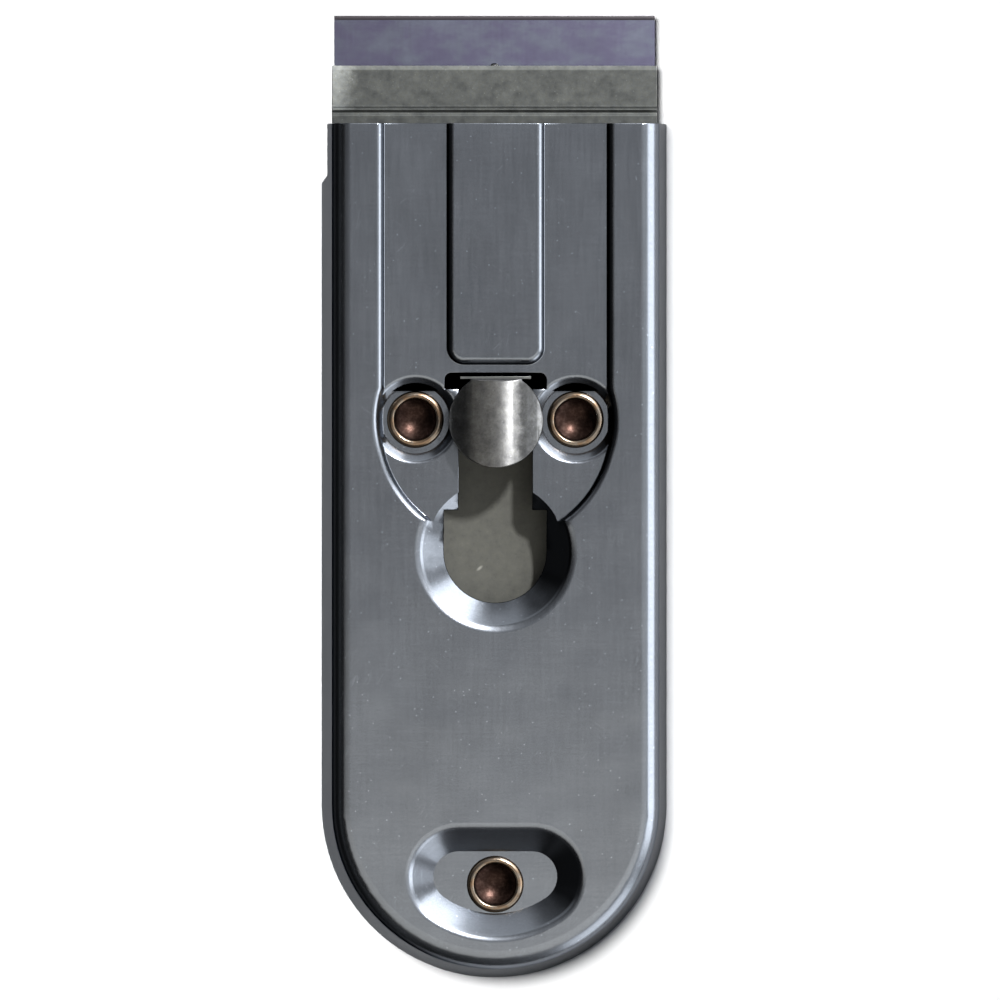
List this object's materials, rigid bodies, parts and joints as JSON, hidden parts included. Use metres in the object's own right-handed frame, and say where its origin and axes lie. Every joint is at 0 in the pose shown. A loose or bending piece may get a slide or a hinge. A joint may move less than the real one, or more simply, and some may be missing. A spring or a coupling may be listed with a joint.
{
  "type": "retractable razor blade scraper",
  "caption": "Flat pocket scraper: a single-edge blade in a sprung clip slides out of a riveted sheet-metal handle and is moved by a thumb disc in a keyhole slot.",
  "frame": {"origin": "middle of the bounding box in X and Y, on the plane that the handle's back lies on", "axes": "+X to the right seen from the front, +Y from the tail to the cutting edge, +Z out of the front face"},
  "size_m": [0.041, 0.1142, 0.0113],
  "materials": {
    "front_shell": "satin plated steel",
    "back_plate": "dull zinc-plated steel",
    "rivet": "brass-plated steel, dark brown inside the cup",
    "blade_clip": "spangled zinc-coated steel",
    "thumb_spring": "bright spring steel",
    "thumb_button": "spangled zinc-coated steel",
    "button_rivet": "bright steel",
    "blade": "ground carbon steel",
    "blade_spine": "blued steel strip"
  },
  "bodies": {
    "handle": {"front_shell": "front_shell", "back_plate": "back_plate", "rivet_left": "rivet", "rivet_right": "rivet", "rivet_tail": "rivet"},
    "blade_carrier": {"blade_clip": "blade_clip", "blade": "blade", "blade_spine": "blade_spine"},
    "thumb_lever": {"thumb_spring": "thumb_spring", "thumb_button": "thumb_button", "button_rivet": "button_rivet"}
  },
  "joints": [
    {"name": "blade_slide", "type": "slide", "parent": "handle", "child": "blade_carrier", "axis": [0, 1, 0], "range_m": [-0.0161, 0]},
    {"name": "thumb_press", "type": "hinge", "parent": "blade_carrier", "child": "thumb_lever", "pos_m": [0, 0.0377, 0.00315], "axis": [1, 0, 0], "range_deg": [0, 3.6], "stiffness_Nm_per_rad": 4.5}
  ]
}
